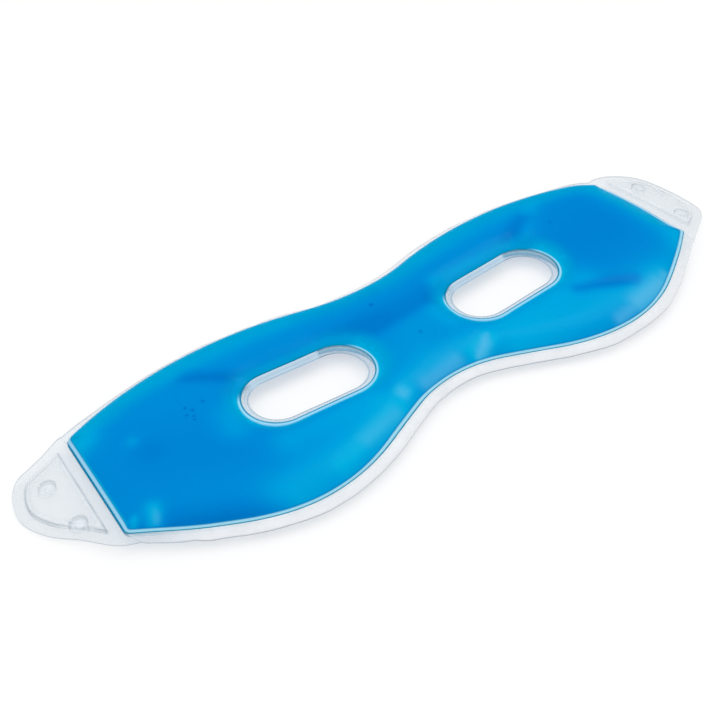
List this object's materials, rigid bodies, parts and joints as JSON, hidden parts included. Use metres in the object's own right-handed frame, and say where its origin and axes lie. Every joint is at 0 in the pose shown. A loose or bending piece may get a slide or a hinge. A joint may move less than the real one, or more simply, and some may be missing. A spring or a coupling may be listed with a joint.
{
  "type": "gel eye mask",
  "caption": "Gel-filled eye pillow: clear films welded round a soft blue gel pad, with open eye holes, a nose notch and a clear tab at each end.",
  "frame": {"origin": "middle of the mask's footprint, on the flat underside of the back film, on the mirror plane between the eye openings", "axes": "+X along the mask from the nose notch to the right-hand tab, +Y towards the forehead edge, +Z out of the domed front film"},
  "size_m": [0.2304, 0.07, 0.0085],
  "materials": {
    "clear_film": "gloss",
    "welded_film": "satin",
    "blue_gel": "gloss"
  },
  "bodies": {
    "left_lobe": {"left_front_film": "clear_film", "left_back_film": "clear_film", "left_gel": "blue_gel", "left_edge_weld": "welded_film", "left_eye_weld": "welded_film"},
    "right_lobe": {"right_front_film": "clear_film", "right_back_film": "clear_film", "right_gel": "blue_gel", "right_edge_weld": "welded_film", "right_eye_weld": "welded_film"},
    "left_tab": {"left_tab_weld": "welded_film", "left_tab_front_film": "clear_film", "left_tab_back_film": "clear_film", "left_tab_spot_welds": "welded_film"},
    "right_tab": {"right_tab_weld": "welded_film", "right_tab_front_film": "clear_film", "right_tab_back_film": "clear_film", "right_tab_spot_welds": "welded_film"}
  },
  "joints": [
    {"name": "bridge_fold", "type": "hinge", "parent": "left_lobe", "child": "right_lobe", "pos_m": [0, 0, 0], "axis": [0, 1, 0], "range_deg": [0, 90], "stiffness_Nm_per_rad": 0.01},
    {"name": "left_tab_flex", "type": "hinge", "parent": "left_lobe", "child": "left_tab", "pos_m": [-0.09929, 0.00518, 0.0036], "axis": [0.1009, 0.9949, 0], "range_deg": [-60, 90], "stiffness_Nm_per_rad": 0.003},
    {"name": "right_tab_flex", "type": "hinge", "parent": "right_lobe", "child": "right_tab", "pos_m": [0.09929, 0.00518, 0.0036], "axis": [0.1009, -0.9949, 0], "range_deg": [-60, 90], "stiffness_Nm_per_rad": 0.003}
  ]
}
